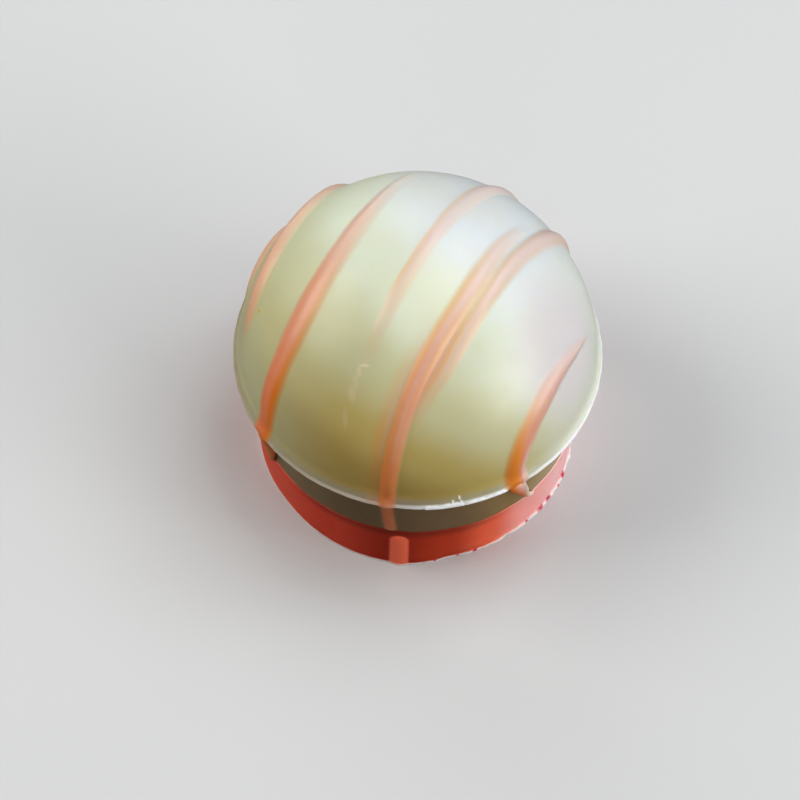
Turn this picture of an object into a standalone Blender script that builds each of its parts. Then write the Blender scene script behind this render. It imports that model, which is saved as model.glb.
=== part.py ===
"""A moulded praline: a white chocolate dome with a lip, a band set in below it, and a pink foot.

The pieces are stacked on the Z axis and stand on the plane Z = 0. Soft pink drizzle was run over
the whole praline in straight parallel passes, so every strand lies in its own upright plane. It is
fused to the piece that it lies on. All sizes are in metres.
"""

import math
from collections import namedtuple

import bmesh
import bpy
from mathutils import Vector

# Driving sizes
LIP_RADIUS = 0.0150
LIP_HEIGHT = 0.0122
LIP_THICKNESS = 0.00026
DOME_RADIUS = 0.01467
DOME_SINK = 0.00143
FLARE_RISE = 0.0009
UNDERCUT = 0.0005
BAND_RADIUS = 0.01365
FOOT_RADIUS = 0.01372
FOOT_HEIGHT = 0.0052
FOOT_ROUNDING = 0.0003
FLASH_WIDTH = 0.00012
FLASH_THICKNESS = 0.00012
LAYER_GAP = 0.0003

# The dome is part of a sphere whose centre lies DOME_SINK below the plane of the lip
DOME_CENTRE = LIP_HEIGHT - DOME_SINK
FLARE_START = LIP_HEIGHT + FLARE_RISE

# Drizzle sizes: a full strand's height above the chocolate, and how far its ends stay off the layers
STRAND_HEIGHT = 0.00036
STRAND_CLEARANCE = 0.0004
THINNEST_END = 0.3
LIP_SIZE = 0.85
LONGEST_STEP = 0.0011

# Fineness of the turned pieces
TURN_STEPS = 60
DOME_STEPS = 15
MERGE_DISTANCE = 0.000005
SHARP_ANGLE = 30

# A strand crosses the dome in the upright plane whose plan line has this bearing from +X. The three
# offsets say how far it passes from the axis at its start, middle and end, so it may bend a little.
# Arc degrees run over the dome from 0 behind to 180 in front. A strand whose span reaches the flare
# goes on over the lip and hangs past it by drop. Fades are the arc degrees over which an end thins out.
Strand = namedtuple("Strand", "name bearing offsets span fades width drop")
STRANDS = (
    Strand("rim", 60.5, (0.01357, 0.01357, 0.01357), (35, 150), (40, 40), 0.00110, 0.0),
    Strand("left", 61.0, (0.01090, 0.01125, 0.01125), (22, 146), (30, 45), 0.00130, 0.0),
    Strand("second", 57.5, (0.00520, 0.00530, 0.00530), (45, 180), (40, 0), 0.00140, 0.0006),
    Strand("middle", 59.3, (-0.00190, -0.00035, -0.00080), (0, 124), (0, 45), 0.00110, 0.0005),
    Strand("pair_left", 61.6, (-0.00530, -0.00430, -0.00480), (58, 180), (35, 0), 0.00150, 0.0004),
    Strand("pair_right", 58.3, (-0.00640, -0.00640, -0.00640), (0, 134), (0, 40), 0.00130, 0.0007),
    Strand("right", 60.5, (-0.01245, -0.01245, -0.01245), (52, 180), (55, 0), 0.00130, 0.0014),
)

# Where a strand went on down a wall: the plan bearing at its upper and lower end, in degrees
WallRun = namedtuple("WallRun", "name top_bearing foot_bearing width")
BAND_RUNS = (
    WallRun("second", -147.8, -149.3, 0.00115),
    WallRun("pair_left", -100.2, -96.8, 0.00100),
    WallRun("right", -56.0, -50.0, 0.00115),
    WallRun("pair_right", 30.5, 28.5, 0.00100),
)
BAND_RUN_TOP = 0.0098
FOOT_RUN = WallRun("pair_left", -95.4, -95.4, 0.00150)
FOOT_RUN_TOP = 0.0042

WHITE_CHOCOLATE = ((0.85, 0.81, 0.62, 1.0), 0.32)
BAND_CHOCOLATE = ((0.80, 0.76, 0.60, 1.0), 0.40)
PINK_CHOCOLATE = ((0.78, 0.20, 0.15, 1.0), 0.38)


def clear_scene():
    for old in list(bpy.data.objects):
        bpy.data.objects.remove(old)


def chocolate(name, colour, roughness):
    material = bpy.data.materials.new(name)
    material.use_nodes = True
    shader = material.node_tree.nodes["Principled BSDF"]
    shader.inputs["Base Color"].default_value = colour
    shader.inputs["Roughness"].default_value = roughness
    shader.inputs["Metallic"].default_value = 0.0
    return material


def arc(centre, radius, first, last, steps):
    """Points (r, z) on an arc between two angles in degrees, both ends included."""
    points = []
    for i in range(steps + 1):
        angle = math.radians(first + (last - first) * i / steps)
        points.append((centre[0] + radius * math.cos(angle), centre[1] + radius * math.sin(angle)))
    return points


def flare(start, bend, end, steps):
    """A quadratic curve from start to end that leaves towards bend, without its first point."""
    points = []
    for i in range(1, steps + 1):
        t = i / steps
        points.append(
            tuple((1 - t) ** 2 * start[k] + 2 * t * (1 - t) * bend[k] + t * t * end[k] for k in (0, 1))
        )
    return points


def dome_profile():
    """Crown, flank, the flare out to the lip, the lip's rounded edge and the flat underside."""
    lowest = math.degrees(math.asin((FLARE_START - DOME_CENTRE) / DOME_RADIUS))
    profile = arc((0.0, DOME_CENTRE), DOME_RADIUS, 90, lowest, DOME_STEPS)
    profile[0] = (0.0, DOME_CENTRE + DOME_RADIUS)
    edge = LIP_THICKNESS / 2
    lip_top = (LIP_RADIUS - edge, LIP_HEIGHT + edge)
    profile += flare(profile[-1], (profile[-1][0], LIP_HEIGHT + edge), lip_top, 4)
    profile += arc((LIP_RADIUS - edge, LIP_HEIGHT), edge, 90, -90, 4)[1:]
    underside = LIP_HEIGHT - UNDERCUT
    profile += [(BAND_RADIUS + LAYER_GAP, underside), (0.0, underside)]
    return profile


def band_profile():
    top = LIP_HEIGHT - UNDERCUT - LAYER_GAP
    bottom = FOOT_HEIGHT + LAYER_GAP
    return [(0.0, top), (BAND_RADIUS, top), (BAND_RADIUS, bottom), (0.0, bottom)]


def foot_profile():
    """A disc with a rounded upper edge and the thin flash that the mould left round its base."""
    shoulder = (FOOT_RADIUS - FOOT_ROUNDING, FOOT_HEIGHT - FOOT_ROUNDING)
    flash = FOOT_RADIUS + FLASH_WIDTH
    profile = [(0.0, FOOT_HEIGHT)]
    profile += arc(shoulder, FOOT_ROUNDING, 90, 0, 3)
    profile += [(FOOT_RADIUS, 2 * FLASH_THICKNESS), (flash, FLASH_THICKNESS), (flash, 0.0), (0.0, 0.0)]
    return profile


def turned(name, profile, collection):
    """A solid of revolution: the profile runs down its outer side, from axis to axis."""
    mesh = bpy.data.meshes.new(name)
    vertices = [(r, 0.0, z) for r, z in profile]
    edges = [(i, i + 1) for i in range(len(vertices) - 1)]
    mesh.from_pydata(vertices, edges, [])
    piece = bpy.data.objects.new(name, mesh)
    collection.objects.link(piece)
    screw = piece.modifiers.new("turn", "SCREW")
    screw.axis = "Z"
    screw.steps = TURN_STEPS
    screw.render_steps = TURN_STEPS
    screw.use_merge_vertices = True
    screw.merge_threshold = MERGE_DISTANCE
    screw.use_normal_calculate = True
    return piece


def plan_axes(bearing):
    """Unit vectors along a strand's plan line and to its left."""
    angle = math.radians(bearing)
    along = Vector((math.cos(angle), math.sin(angle), 0.0))
    across = Vector((-math.sin(angle), math.cos(angle), 0.0))
    return along, across


def dome_point(strand, arc_degrees):
    """A point of the strand on the dome, and the dome's outward normal there."""
    along, across = plan_axes(strand.bearing)
    first, last = strand.span
    t = (arc_degrees - first) / (last - first)
    start, middle, end = strand.offsets
    offset = start * (1 - t) * (1 - 2 * t) + middle * 4 * t * (1 - t) + end * t * (2 * t - 1)
    reach = math.sqrt(DOME_RADIUS**2 - offset**2)
    angle = math.radians(arc_degrees)
    normal = along * (reach * math.cos(angle)) + across * offset + Vector((0.0, 0.0, reach * math.sin(angle)))
    centre = Vector((0.0, 0.0, DOME_CENTRE))
    return centre + normal, normal.normalized()


def flare_arc(strand, offset):
    """The arc degrees at which the strand comes down to the flare in front; behind it is 180 less these."""
    reach = math.sqrt(DOME_RADIUS**2 - offset**2)
    return 180 - math.degrees(math.asin((FLARE_START - DOME_CENTRE) / reach))


def lip_points(last, drop):
    """The strand past the dome's flank: out round the lip, then straight down to a rounded end."""
    outward = Vector((last.x, last.y, 0.0)).normalized()
    levels = ((0.0, LIP_SIZE), (0.7 * drop, LIP_SIZE), (drop, LIP_SIZE / 2))
    edge = outward * LIP_RADIUS
    return [(edge + Vector((0.0, 0.0, LIP_HEIGHT - below)), outward, size) for below, size in levels]


def fade(distance, length):
    """Rises smoothly from a thin end to the full section over a length; 1 where there is no fade."""
    if length <= 0:
        return 1.0
    t = min(1.0, max(0.0, distance / length))
    return THINNEST_END + (1 - THINNEST_END) * t * t * (3 - 2 * t)


def tube(name, points, width, height, collection):
    """A round cord sunk in the surface so that it shows with the given width and height.

    Each point is (place on the surface, outward normal, size from 0 to 1).
    """
    radius = ((width / 2) ** 2 + height**2) / (2 * height)
    curve = bpy.data.curves.new(name, "CURVE")
    curve.dimensions = "3D"
    curve.bevel_depth = radius
    curve.bevel_resolution = 2
    curve.use_fill_caps = True
    spline = curve.splines.new("POLY")
    spline.points.add(len(points) - 1)
    for target, (place, normal, size) in zip(spline.points, points):
        sunk = place + normal * (height - radius) * size
        target.co = (sunk.x, sunk.y, sunk.z, 1.0)
        target.radius = size
    piece = bpy.data.objects.new(name, curve)
    collection.objects.link(piece)
    return piece


def dome_strand(strand, collection):
    """The cord of one strand over the dome, with its hanging ends where it crosses the lip."""
    first = max(strand.span[0], 180 - flare_arc(strand, strand.offsets[0]))
    last = min(strand.span[1], flare_arc(strand, strand.offsets[2]))
    reach = math.sqrt(DOME_RADIUS**2 - strand.offsets[1] ** 2)
    steps = max(6, round(math.radians(last - first) * reach / LONGEST_STEP))
    points = []
    for i in range(steps + 1):
        degrees = first + (last - first) * i / steps
        size = fade(degrees - first, strand.fades[0]) * fade(last - degrees, strand.fades[1])
        points.append((*dome_point(strand, degrees), size))
    if first > strand.span[0]:
        points = lip_points(points[0][0], strand.drop)[::-1] + points
    if last < strand.span[1]:
        points += lip_points(points[-1][0], strand.drop)
    return tube("strand_" + strand.name, points, strand.width, STRAND_HEIGHT, collection)


def wall_strand(run, radius, bottom, top, sizes, collection):
    """A strand on an upright wall, from bottom to top, with its size at evenly spaced heights."""
    points = []
    for i, size in enumerate(sizes):
        t = i / (len(sizes) - 1)
        bearing = math.radians(run.foot_bearing + (run.top_bearing - run.foot_bearing) * t)
        outward = Vector((math.cos(bearing), math.sin(bearing), 0.0))
        points.append((outward * radius + Vector((0.0, 0.0, bottom + (top - bottom) * t)), outward, size))
    return tube("run_" + run.name, points, run.width, STRAND_HEIGHT, collection)


def as_mesh(piece, collection):
    """Replaces a curve or modified object by the plain mesh that it evaluates to, with its caps welded."""
    name = piece.name
    graph = bpy.context.evaluated_depsgraph_get()
    mesh = bpy.data.meshes.new_from_object(piece.evaluated_get(graph))
    work = bmesh.new()
    work.from_mesh(mesh)
    bmesh.ops.remove_doubles(work, verts=work.verts, dist=MERGE_DISTANCE)
    bmesh.ops.recalc_face_normals(work, faces=work.faces)
    work.to_mesh(mesh)
    work.free()
    solid = bpy.data.objects.new(name, mesh)
    solid.matrix_world = piece.matrix_world
    bpy.data.objects.remove(piece)
    solid.name = name
    collection.objects.link(solid)
    return solid


def fuse(piece, drizzle, collection):
    """Joins every object of the drizzle collection to the piece with one union, and removes them."""
    for strand in list(drizzle.objects):
        as_mesh(strand, drizzle)
    union = piece.modifiers.new("drizzle", "BOOLEAN")
    union.operation = "UNION"
    union.solver = "EXACT"
    union.operand_type = "COLLECTION"
    union.collection = drizzle
    bpy.context.view_layer.update()
    solid = as_mesh(piece, collection)
    for strand in list(drizzle.objects):
        bpy.data.objects.remove(strand)
    bpy.data.collections.remove(drizzle)
    return solid


def finish(piece, material):
    piece.data.materials.clear()
    piece.data.materials.append(material)
    piece.data.shade_smooth()
    piece.data.set_sharp_from_angle(angle=math.radians(SHARP_ANGLE))


def new_collection(name):
    collection = bpy.data.collections.new(name)
    bpy.context.scene.collection.children.link(collection)
    return collection


def build_dome(parts):
    drizzle = new_collection("dome_drizzle")
    for strand in STRANDS:
        dome_strand(strand, drizzle)
    dome = as_mesh(turned("dome", dome_profile(), parts), parts)
    finish(fuse(dome, drizzle, parts), chocolate("white_chocolate", *WHITE_CHOCOLATE))


def build_band(parts):
    drizzle = new_collection("band_drizzle")
    bottom = FOOT_HEIGHT + LAYER_GAP + STRAND_CLEARANCE
    for run in BAND_RUNS:
        wall_strand(run, BAND_RADIUS, bottom, BAND_RUN_TOP, (0.7, 0.95, 1.0, 0.95, 0.7), drizzle)
    band = as_mesh(turned("band", band_profile(), parts), parts)
    finish(fuse(band, drizzle, parts), chocolate("band_chocolate", *BAND_CHOCOLATE))


def build_foot(parts):
    drizzle = new_collection("foot_drizzle")
    sizes = (1.0, 1.0, 1.0, 0.97, 0.87, 0.6)
    wall_strand(FOOT_RUN, FOOT_RADIUS, FLASH_THICKNESS, FOOT_RUN_TOP, sizes, drizzle)
    foot = as_mesh(turned("foot", foot_profile(), parts), parts)
    finish(fuse(foot, drizzle, parts), chocolate("pink_chocolate", *PINK_CHOCOLATE))


def main():
    clear_scene()
    parts = new_collection("praline")
    build_dome(parts)
    build_band(parts)
    build_foot(parts)


main()
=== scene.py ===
# A white chocolate praline with coral drizzle, dressed for its picture
import math

import bpy
import numpy as np
from mathutils import Euler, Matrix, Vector


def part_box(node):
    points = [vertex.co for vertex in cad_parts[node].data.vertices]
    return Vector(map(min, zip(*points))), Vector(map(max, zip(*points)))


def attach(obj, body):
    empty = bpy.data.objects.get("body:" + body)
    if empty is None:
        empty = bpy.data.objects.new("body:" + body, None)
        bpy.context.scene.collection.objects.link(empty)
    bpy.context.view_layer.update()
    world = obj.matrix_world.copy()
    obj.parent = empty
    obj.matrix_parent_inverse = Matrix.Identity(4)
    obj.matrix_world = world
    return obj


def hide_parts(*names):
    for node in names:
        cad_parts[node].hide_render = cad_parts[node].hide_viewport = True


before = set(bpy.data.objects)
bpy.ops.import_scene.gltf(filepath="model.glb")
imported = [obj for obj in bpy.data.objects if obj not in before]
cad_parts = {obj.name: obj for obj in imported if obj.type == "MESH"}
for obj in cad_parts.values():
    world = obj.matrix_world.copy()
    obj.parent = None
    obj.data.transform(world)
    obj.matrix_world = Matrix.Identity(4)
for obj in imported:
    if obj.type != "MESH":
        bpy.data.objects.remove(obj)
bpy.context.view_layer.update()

print("frame loaded:", sorted(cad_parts))

mm = 0.001


# Small tools for the surfaces. Points are in millimetres until a mesh is made of them.

def smooth(t):
    # the smooth step 3t^2 - 2t^3 of t, held between 0 and 1
    t = np.clip(t, 0.0, 1.0)
    return t * t * (3.0 - 2.0 * t)


def ripple(points, length, seed):
    # a soft uneven field between about -1 and 1: six sine waves of about one wave length in random directions
    chance = np.random.default_rng(seed)
    total = np.zeros(points.shape[:-1])
    for _ in range(6):
        direction = chance.normal(size=3)
        direction /= np.linalg.norm(direction)
        wave = 2.0 * math.pi / (length * chance.uniform(0.7, 1.5))
        total += np.sin(points @ direction * wave + chance.uniform(0.0, 2.0 * math.pi))
    return total / 3.5


def through(points, count):
    # a Catmull-Rom curve through the points, evenly in their number, with its end points doubled
    points = np.array(points, float)
    padded = np.vstack([2 * points[0] - points[1], points, 2 * points[-1] - points[-2]])
    place = np.linspace(0, len(points) - 1, count)
    first = np.minimum(place.astype(int), len(points) - 2)
    t = (place - first)[:, None]
    a, b, c, d = (padded[first + k] for k in range(4))
    return 0.5 * (2 * b + (c - a) * t + (2 * a - 5 * b + 4 * c - d) * t**2 + (3 * b - a - 3 * c + d) * t**3)


def around(azimuth, radius, height):
    # cylindrical to straight coordinates, azimuth in degrees from +X
    turn = np.radians(azimuth)
    return np.stack(np.broadcast_arrays(radius * np.cos(turn), radius * np.sin(turn), height), axis=-1)


def bearingRow(columns):
    # bearings in degrees, evenly round the axis from -180, as one row of a grid
    return (np.arange(columns) * 360.0 / columns - 180.0)[None, :]


def rowNormals(points):
    # outward normals of a closed grid: the cross product of the steps down the rows and round the columns
    down = np.gradient(points, axis=0)
    across = np.roll(points, -1, axis=1) - np.roll(points, 1, axis=1)
    normal = np.cross(down, across)
    return normal / np.maximum(np.linalg.norm(normal, axis=-1, keepdims=True), 1e-12)


def makePiece(name, points, node, slot, **paint):
    # A closed skin over a grid of points: every row is a ring, and the first and last rows shrink to a point.
    # Paint holds one number for each grid point, kept as an attribute of the mesh.
    rows, columns = points.shape[:2]
    inner = points[1:-1].reshape(-1, 3)
    vertices = np.vstack([points[0].mean(0), inner, points[-1].mean(0)])
    last = len(vertices) - 1
    ring = np.arange(columns)
    after = (ring + 1) % columns
    start = 1 + np.arange(rows - 3)[:, None] * columns
    quads = np.stack(
        [start + ring, start + columns + ring, start + columns + after, start + after], axis=-1
    ).reshape(-1, 4)
    top = np.stack([np.zeros_like(ring), 1 + ring, 1 + after], axis=-1)
    low = 1 + (rows - 3) * columns
    bottom = np.stack([low + ring, np.full_like(ring, last), low + after], axis=-1)
    corners = vertices[np.vstack([quads[:, :3], quads[:, [0, 2, 3]], top, bottom])]
    volume = np.einsum("ij,ij->", corners[:, 0], np.cross(corners[:, 1], corners[:, 2]))
    faces = quads.tolist() + top.tolist() + bottom.tolist()
    if volume < 0:
        faces = [face[::-1] for face in faces]
    mesh = bpy.data.meshes.new(name)
    mesh.from_pydata((vertices * mm).tolist(), [], faces)
    for label, values in paint.items():
        values = np.broadcast_to(values, (rows, columns))
        values = np.concatenate([[values[0].mean()], values[1:-1].ravel(), [values[-1].mean()]])
        mesh.attributes.new(label, "FLOAT", "POINT").data.foreach_set("value", values.astype(np.float32))
    mesh.shade_smooth()
    mesh.materials.append(materials[slot])
    piece = bpy.data.objects.new(name, mesh)
    bpy.context.scene.collection.objects.link(piece)
    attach(piece, "root")
    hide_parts(node)
    print("made", name, len(quads) * 2 + columns * 2, "triangles")


# Node groups that several finishes share

def newGroup(name, inputs, outputs):
    tree = bpy.data.node_groups.new(name, "ShaderNodeTree")
    for label, kind, value in inputs:
        socket = tree.interface.new_socket(label, in_out="INPUT", socket_type="NodeSocket" + kind)
        socket.default_value = value
    for label, kind in outputs:
        tree.interface.new_socket(label, in_out="OUTPUT", socket_type="NodeSocket" + kind)
    return tree, tree.nodes.new("NodeGroupInput"), tree.nodes.new("NodeGroupOutput")


def addNode(tree, kind, settings=None, **links):
    # one node, with its settings; its inputs, named or numbered as in i0, are linked to sockets or set
    made = tree.nodes.new("ShaderNode" + kind)
    for label, value in (settings or {}).items():
        setattr(made, label, value)
    for label, value in links.items():
        numbered = label[0] == "i" and label[1:].isdigit()
        socket = made.inputs[int(label[1:]) if numbered else label.replace("_", " ")]
        if isinstance(value, bpy.types.NodeSocket):
            tree.links.new(value, socket)
        else:
            socket.default_value = (*value, 1.0) if socket.type == "RGBA" else value
    return made


def blendColour(tree, factor, first, second, kind="MIX"):
    made = addNode(
        tree, "Mix", {"data_type": "RGBA", "blend_type": kind, "clamp_factor": True},
        i0=factor, i6=first, i7=second,
    )
    return made.outputs[2]


def mathNode(tree, operation, first, second):
    return addNode(tree, "Math", {"operation": operation}, i0=first, i1=second).outputs[0]


def sidewaysPlace(tree):
    # how far a place lies to the right of the middle
    place = addNode(tree, "TexCoord").outputs["Object"]
    return addNode(tree, "SeparateXYZ", Vector=place).outputs["X"]


def mapRange(tree, value, low, high, toLow, toHigh, kind="SMOOTHSTEP"):
    made = addNode(
        tree, "MapRange", {"interpolation_type": kind},
        Value=value, From_Min=low, From_Max=high, To_Min=toLow, To_Max=toHigh,
    )
    return made.outputs["Result"]


def colourStops(tree, factor, stops):
    # a smooth run of colours, from pairs of place and colour
    made = addNode(tree, "ValToRGB", Fac=factor)
    ramp = made.color_ramp
    ramp.interpolation = "EASE"
    while len(ramp.elements) < len(stops):
        ramp.elements.new(0.5)
    for element, (place, colour) in zip(ramp.elements, stops):
        element.position = place
        element.color = (*colour, 1.0)
    return made.outputs["Color"]


def sidewaysTones(tree, stops, reach):
    # colours that run from the left side to the right side, reach mm either side of the middle
    share = mapRange(tree, sidewaysPlace(tree), -reach * mm, reach * mm, 0.0, 1.0, "LINEAR")
    return colourStops(tree, share, stops)


def readPaint(tree, name):
    return addNode(tree, "Attribute", {"attribute_name": name}).outputs["Fac"]


def spotMask(tree, spots):
    # A mask of small round spots, each with its middle and half sizes in mm and its strength: full out to
    # half of its size and gone at one and a half. Where spots meet, the stronger one counts.
    place = addNode(tree, "TexCoord").outputs["Object"]
    total = None
    for middle, half, strength in spots:
        away = addNode(
            tree, "VectorMath", {"operation": "SUBTRACT"}, i0=place, i1=[value * mm for value in middle]
        ).outputs["Vector"]
        scaled = addNode(
            tree, "VectorMath", {"operation": "DIVIDE"}, i0=away, i1=[value * mm for value in half]
        ).outputs["Vector"]
        length = addNode(tree, "VectorMath", {"operation": "LENGTH"}, i0=scaled).outputs["Value"]
        mask = mapRange(tree, length, 1.5, 0.5, 0.0, strength)
        if total is not None:
            mask = mathNode(tree, "MAXIMUM", total, mask)
        total = mask
    return total


def chocolateGrain():
    # slow cloudy patches of cocoa butter, and the fine grain of a moulded chocolate skin
    tree, given, result = newGroup(
        "chocolateGrain",
        [("Patch Size", "Float", 4.0), ("Grain Size", "Float", 0.2)],
        [("Cloud", "Float"), ("Grain", "Float")],
    )
    place = addNode(tree, "TexCoord").outputs["Object"]
    patches = mathNode(tree, "DIVIDE", 1.0 / mm, given.outputs["Patch Size"])
    grains = mathNode(tree, "DIVIDE", 1.0 / mm, given.outputs["Grain Size"])
    cloud = addNode(tree, "TexNoise", Vector=place, Scale=patches, Detail=3.0, Roughness=0.55)
    grain = addNode(tree, "TexNoise", Vector=place, Scale=grains, Detail=2.0, Roughness=0.6)
    tree.links.new(mapRange(tree, cloud.outputs[0], 0.3, 0.7, 0.0, 1.0), result.inputs["Cloud"])
    tree.links.new(grain.outputs[0], result.inputs["Grain"])
    return tree


paintedLightLook = {
    "towards": (0.50, 0.35, 0.79),  # painted light: the side the light falls on, where the colours are paler and cooler
    "middle": 8.5,                  # mm along that line at which the dome's centre lies
    "from": -0.25,                  # shares of the dome's radius between which the tone runs
    "to": 0.95,
    "radius": 14.67,
}


def paintedLightTone():
    # how far a place lies towards the lit upper side, for painted light and shade: 0 low in front, 1 at the
    # top
    look = paintedLightLook
    tree, _, result = newGroup("paintedLightTone", [], [("Tone", "Float")])
    place = addNode(tree, "TexCoord").outputs["Object"]
    ahead = addNode(tree, "VectorMath", {"operation": "DOT_PRODUCT"}, i0=place, i1=look["towards"])
    low = (look["middle"] + look["from"] * look["radius"]) * mm
    high = (look["middle"] + look["to"] * look["radius"]) * mm
    tone = mapRange(tree, ahead.outputs["Value"], low, high, 0.0, 1.0, "LINEAR")
    tree.links.new(tone, result.inputs["Tone"])
    return tree


drizzleLook = {
    "pinkHigh": (0.665, 0.465, 0.41),  # painted light: paler where the painted light tone is high
    "pinkLow": (0.72, 0.225, 0.082),   # painted shade: deeper lower down
    "warmHigh": (0.69, 0.50, 0.22),    # where it thins out to an orange film, partly its own orange and partly painted shade on a bead's shaded side
    "warmLow": (0.75, 0.23, 0.006),
    "pale": (0.70, 0.57, 0.54),        # milky clouds in it, and the pale of its painted highlight
    "paleShare": 0.25,
    "ease": 1.35,                      # how late the painted light pales it on the way up
}


def drizzleOver():
    # the drizzle's colour over what lies below it, pink in the bead, paler on the lit side by painted light,
    # and orange where it thins out, partly its own orange and partly painted shade
    look = drizzleLook
    tree, given, result = newGroup(
        "drizzleOver",
        [("Beneath", "Color", (0.8, 0.8, 0.8, 1.0)), ("Cover", "Float", 0.0), ("Warm", "Float", 0.0),
         ("Milk", "Float", 0.0), ("Tone", "Float", 0.5), ("Cloud", "Float", 0.5)],
        [("Color", "Color")],
    )
    # painted light and shade: the drizzle pales towards the lit side and deepens low in front
    tone = mathNode(tree, "POWER", given.outputs["Tone"], look["ease"])
    pink = blendColour(tree, tone, look["pinkLow"], look["pinkHigh"])
    warm = blendColour(tree, tone, look["warmLow"], look["warmHigh"])
    milky = mathNode(tree, "MULTIPLY", given.outputs["Cloud"], look["paleShare"])
    bead = blendColour(tree, given.outputs["Warm"], blendColour(tree, milky, pink, look["pale"]), warm)
    bead = blendColour(tree, given.outputs["Milk"], bead, look["pale"])
    over = blendColour(tree, given.outputs["Cover"], given.outputs["Beneath"], bead)
    tree.links.new(over, result.inputs["Color"])
    return tree


skinLook = {"ior": 1.47, "grainDepth": 0.03}     # the same for all the finishes, the depth in mm
grainGroup = chocolateGrain()
toneGroup = paintedLightTone()
drizzleGroup = drizzleOver()


def startMaterial(name, look):
    # a material and its shared grain
    material = bpy.data.materials.new(name)
    material.use_nodes = True
    tree = material.node_tree
    grain = addNode(
        tree, "Group", {"node_tree": grainGroup}, Patch_Size=look["patchSize"], Grain_Size=look["grainSize"]
    )
    return material, tree, grain


def readTone(tree):
    return addNode(tree, "Group", {"node_tree": toneGroup}).outputs["Tone"]


def cloudTinted(tree, grain, colour, look):
    return blendColour(tree, grain.outputs["Cloud"], colour, look["cloudTint"], "MULTIPLY")


def layDrizzle(tree, beneath, grain, tone, milk=0.0):
    # the drizzle painted over a colour
    over = addNode(
        tree, "Group", {"node_tree": drizzleGroup}, Beneath=beneath, Cover=readPaint(tree, "cover"),
        Warm=readPaint(tree, "warm"), Milk=milk, Tone=tone, Cloud=grain.outputs["Cloud"],
    )
    return over.outputs["Color"]


def finishSurface(tree, grain, look, colour):
    # The colour, a faint bump from the grain, and a roughness from the slow patches that is smoother where
    # drizzle covers it. What is the same all over sits on the shader's own sockets.
    shader = tree.nodes["Principled BSDF"]
    tree.links.new(colour, shader.inputs["Base Color"])
    shader.inputs["Subsurface Weight"].default_value = look["softness"]
    shader.inputs["Subsurface Radius"].default_value = look["softReach"]
    shader.inputs["Subsurface Scale"].default_value = mm
    shader.inputs["IOR"].default_value = skinLook["ior"]
    bump = addNode(
        tree, "Bump", Strength=look["grainStrength"], Distance=skinLook["grainDepth"] * mm,
        Height=grain.outputs["Grain"],
    )
    tree.links.new(bump.outputs["Normal"], shader.inputs["Normal"])
    if "drizzleRoughness" not in look:
        shader.inputs["Roughness"].default_value = look["roughness"]
        return
    low, high = look["roughness"]
    rough = mapRange(tree, grain.outputs["Cloud"], 0.0, 1.0, low, high)
    cover = readPaint(tree, "cover")
    wet = addNode(tree, "Mix", {"data_type": "FLOAT"}, i0=cover, i2=rough, i3=look["drizzleRoughness"])
    tree.links.new(wet.outputs[0], shader.inputs["Roughness"])


# The finishes

whiteLook = {
    "tones": (                        # from low in front to the top: painted shade, yellow and deep, low in front, and painted light, pale and cool, at the top
        (0.00, (0.45, 0.337, 0.113)),
        (0.20, (0.55, 0.455, 0.18)),
        (0.45, (0.59, 0.583, 0.39)),
        (0.70, (0.64, 0.68, 0.565)),
        (1.00, (0.67, 0.70, 0.72)),
    ),
    "cloudTint": (0.97, 0.95, 0.90),  # the slow patches are this much deeper
    "sideTints": (                    # painted light: the far sides are paler: the colour, its share, and the places
        ((0.545, 0.59, 0.435), 0.65, (-4.5, -14.5)),  # in mm from the middle between which it sets in
        ((0.66, 0.68, 0.64), 0.60, (7.5, 12.5)),
    ),
    "patches": (                      # a deeper patch left, a paler one amid, and a cooler painted shade right
        ((0.46, 0.45, 0.27), ((-6.3, -6.3, 21.5), (4.0, 4.0, 4.0), 0.42)),
        ((0.72, 0.74, 0.60), ((0.4, -5.0, 24.6), (3.2, 3.2, 3.2), 0.45)),
        ((0.62, 0.585, 0.605), ((10.99, -5.10, 19.05), (5.0, 5.0, 5.0), 0.80)),
    ),
    "fades": (                        # painted shade: the dome greys towards the lip, from the left to the right
        (0.05, (0.40, 0.36, 0.25)),
        (0.45, (0.335, 0.285, 0.20)),
        (0.66, (0.43, 0.40, 0.265)),
        (0.80, (0.50, 0.49, 0.385)),
        (0.92, (0.70, 0.72, 0.64)),
    ),
    "edges": (                        # painted highlight: the thin lip's edge, paler
        (0.05, (0.53, 0.46, 0.33)),
        (0.35, (0.66, 0.58, 0.50)),
        (0.55, (0.80, 0.80, 0.76)),
        (0.72, (0.76, 0.74, 0.70)),
        (0.88, (0.98, 0.97, 0.93)),
    ),
    "reach": 15.0,                    # mm either side of the middle
    "scrape": (0.97, 0.97, 0.94),     # where the lip was scraped
    "dot": (0.66, 0.38, 0.03),        # one small orange dot: middle, half sizes in mm, strength
    "dots": (((-12.30, -1.52, 18.62), (0.20, 0.18, 0.14), 0.8),),
    "smear": (0.84, 0.70, 0.60),      # faint pinkish smears beside the middle strand
    "smears": (
        ((-3.96, -8.54, 22.02), (0.62, 0.12, 0.12), 0.42),
        ((-4.37, -8.81, 21.64), (0.18, 0.40, 0.40), 0.26),
        ((-4.62, -9.40, 21.05), (0.20, 0.70, 0.70), 0.12),
        ((-4.90, -9.96, 20.37), (0.26, 0.60, 0.60), 0.2),
        ((-5.40, -11.01, 18.66), (0.22, 0.70, 0.70), 0.14),
    ),
    "patchSize": 5.0,
    "grainSize": 0.25,
    "softness": 0.35,
    "softReach": (1.3, 0.9, 0.4),
    "roughness": (0.34, 0.42),
    "drizzleRoughness": 0.34,
    "grainStrength": 0.15,
}


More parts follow.
